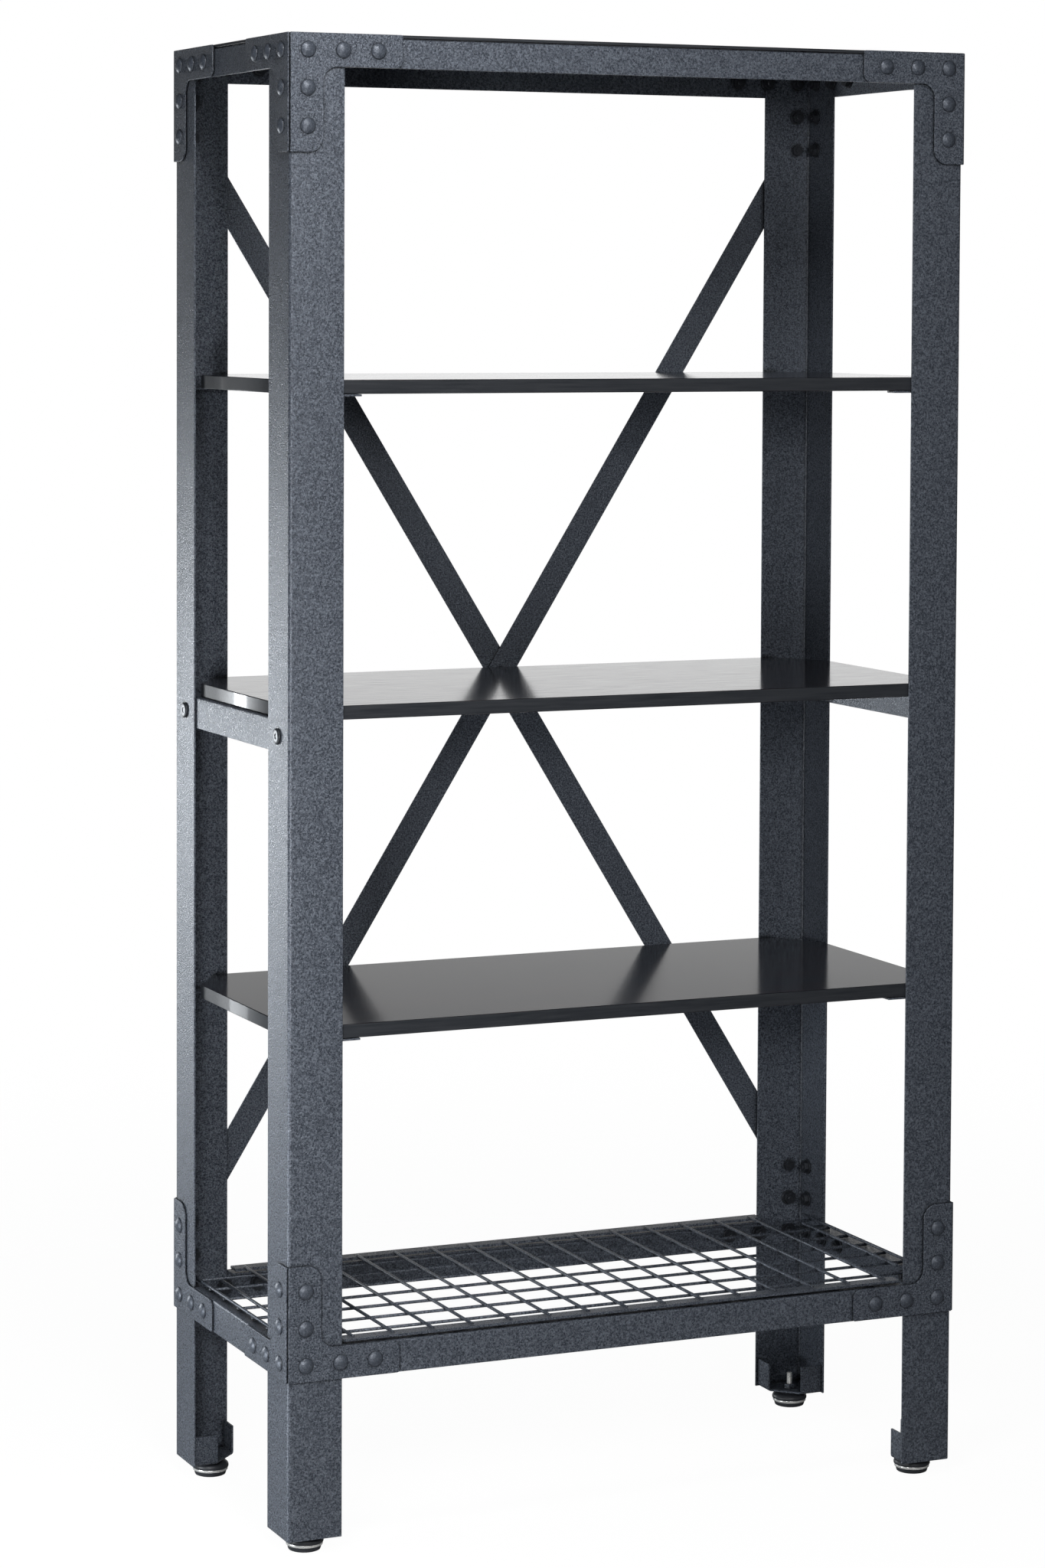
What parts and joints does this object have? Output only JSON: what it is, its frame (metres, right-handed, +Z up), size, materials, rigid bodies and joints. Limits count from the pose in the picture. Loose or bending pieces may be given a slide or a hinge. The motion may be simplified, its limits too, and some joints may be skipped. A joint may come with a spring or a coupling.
{
  "type": "steel shelving unit",
  "caption": "Tall riveted steel storage shelving with angle posts, dark boards, a wire lower deck, rear cross bracing and screw levelling feet.",
  "frame": {"origin": "on the floor, under the middle of the unit", "axes": "+Z up, +X to the unit's right as seen from the front, the front faces -Y"},
  "size_m": [0.9266, 0.4226, 1.8288],
  "materials": {
    "powder_coated_steel": "dark blue-grey wrinkle powder coat with a fine light speckle",
    "lacquered_board": "near-black espresso lacquer, smooth and glossy",
    "blackened_bolts": "satin black",
    "nickel_plate": "bright nickel plate",
    "black_plastic": "black moulded plastic"
  },
  "bodies": {
    "frame": {"post_front_left": "powder_coated_steel", "post_front_right": "powder_coated_steel", "post_back_right": "powder_coated_steel", "post_back_left": "powder_coated_steel", "top_gusset_front_left": "powder_coated_steel", "top_gusset_front_right": "powder_coated_steel", "top_gusset_right_front": "powder_coated_steel", "top_gusset_right_back": "powder_coated_steel", "top_gusset_back_right": "powder_coated_steel", "top_gusset_back_left": "powder_coated_steel", "top_gusset_left_back": "powder_coated_steel", "top_gusset_left_front": "powder_coated_steel", "lower_gusset_front_left": "powder_coated_steel", "lower_gusset_front_right": "powder_coated_steel", "lower_gusset_right_front": "powder_coated_steel", "lower_gusset_right_back": "powder_coated_steel", "lower_gusset_back_right": "powder_coated_steel", "lower_gusset_back_left": "powder_coated_steel", "lower_gusset_left_back": "powder_coated_steel", "lower_gusset_left_front": "powder_coated_steel", "top_rail_front": "powder_coated_steel", "top_rail_right": "powder_coated_steel", "top_rail_back": "powder_coated_steel", "top_rail_left": "powder_coated_steel", "lower_rail_front": "powder_coated_steel", "lower_rail_right": "powder_coated_steel", "lower_rail_back": "powder_coated_steel", "lower_rail_left": "powder_coated_steel", "top_panel": "lacquered_board", "side_beam_left": "powder_coated_steel", "side_beam_right": "powder_coated_steel", "rising_brace": "powder_coated_steel", "falling_brace": "powder_coated_steel", "beam_bolt_front_left": "blackened_bolts", "beam_bolt_front_right": "blackened_bolts", "beam_bolt_back_right": "blackened_bolts", "beam_bolt_back_left": "blackened_bolts", "brace_bolt_high_left": "blackened_bolts", "brace_bolt_high_right": "blackened_bolts", "brace_bolt_low_left": "blackened_bolts", "brace_bolt_low_right": "blackened_bolts", "brace_bolt_middle": "blackened_bolts", "wire_deck": "powder_coated_steel", "foot_bracket_front_left": "powder_coated_steel", "foot_bracket_front_right": "powder_coated_steel", "foot_bracket_back_right": "powder_coated_steel", "foot_bracket_back_left": "powder_coated_steel"},
    "lower_shelf": {"lower_board": "lacquered_board"},
    "middle_shelf": {"middle_board": "lacquered_board"},
    "upper_shelf": {"upper_board": "lacquered_board"},
    "foot_front_left": {"foot_pad_front_left": "black_plastic"},
    "screw_front_left": {"foot_stud_front_left": "nickel_plate"},
    "foot_front_right": {"foot_pad_front_right": "black_plastic"},
    "screw_front_right": {"foot_stud_front_right": "nickel_plate"},
    "foot_back_right": {"foot_pad_back_right": "black_plastic"},
    "screw_back_right": {"foot_stud_back_right": "nickel_plate"},
    "foot_back_left": {"foot_pad_back_left": "black_plastic"},
    "screw_back_left": {"foot_stud_back_left": "nickel_plate"}
  },
  "joints": [
    {"name": "lower_board_lift", "type": "slide", "parent": "frame", "child": "lower_shelf", "axis": [0, 0, 1], "range_m": [0, 0.3]},
    {"name": "middle_board_lift", "type": "slide", "parent": "frame", "child": "middle_shelf", "axis": [0, 0, 1], "range_m": [0, 0.34]},
    {"name": "upper_board_lift", "type": "slide", "parent": "frame", "child": "upper_shelf", "axis": [0, 0, 1], "range_m": [0, 0.3]},
    {"name": "foot_front_left_height", "type": "slide", "parent": "frame", "child": "foot_front_left", "axis": [0, 0, -1], "range_m": [0, 0.0125]},
    {"name": "screw_front_left_turn", "type": "hinge", "parent": "foot_front_left", "child": "screw_front_left", "pos_m": [-0.4222, -0.1682, 0.03], "axis": [0, 0, -1], "range_deg": [0, 3600]},
    {"name": "foot_front_right_height", "type": "slide", "parent": "frame", "child": "foot_front_right", "axis": [0, 0, -1], "range_m": [0, 0.0125]},
    {"name": "screw_front_right_turn", "type": "hinge", "parent": "foot_front_right", "child": "screw_front_right", "pos_m": [0.4222, -0.1682, 0.03], "axis": [0, 0, -1], "range_deg": [0, 3600]},
    {"name": "foot_back_right_height", "type": "slide", "parent": "frame", "child": "foot_back_right", "axis": [0, 0, -1], "range_m": [0, 0.0125]},
    {"name": "screw_back_right_turn", "type": "hinge", "parent": "foot_back_right", "child": "screw_back_right", "pos_m": [0.4222, 0.1682, 0.03], "axis": [0, 0, -1], "range_deg": [0, 3600]},
    {"name": "foot_back_left_height", "type": "slide", "parent": "frame", "child": "foot_back_left", "axis": [0, 0, -1], "range_m": [0, 0.0125]},
    {"name": "screw_back_left_turn", "type": "hinge", "parent": "foot_back_left", "child": "screw_back_left", "pos_m": [-0.4222, 0.1682, 0.03], "axis": [0, 0, -1], "range_deg": [0, 3600]}
  ],
  "couplings": [
    {"joint": "screw_front_left_turn", "follows": "foot_front_left_height", "rad_per_m": 5026.5},
    {"joint": "screw_front_right_turn", "follows": "foot_front_right_height", "rad_per_m": 5026.5},
    {"joint": "screw_back_right_turn", "follows": "foot_back_right_height", "rad_per_m": 5026.5},
    {"joint": "screw_back_left_turn", "follows": "foot_back_left_height", "rad_per_m": 5026.5}
  ]
}
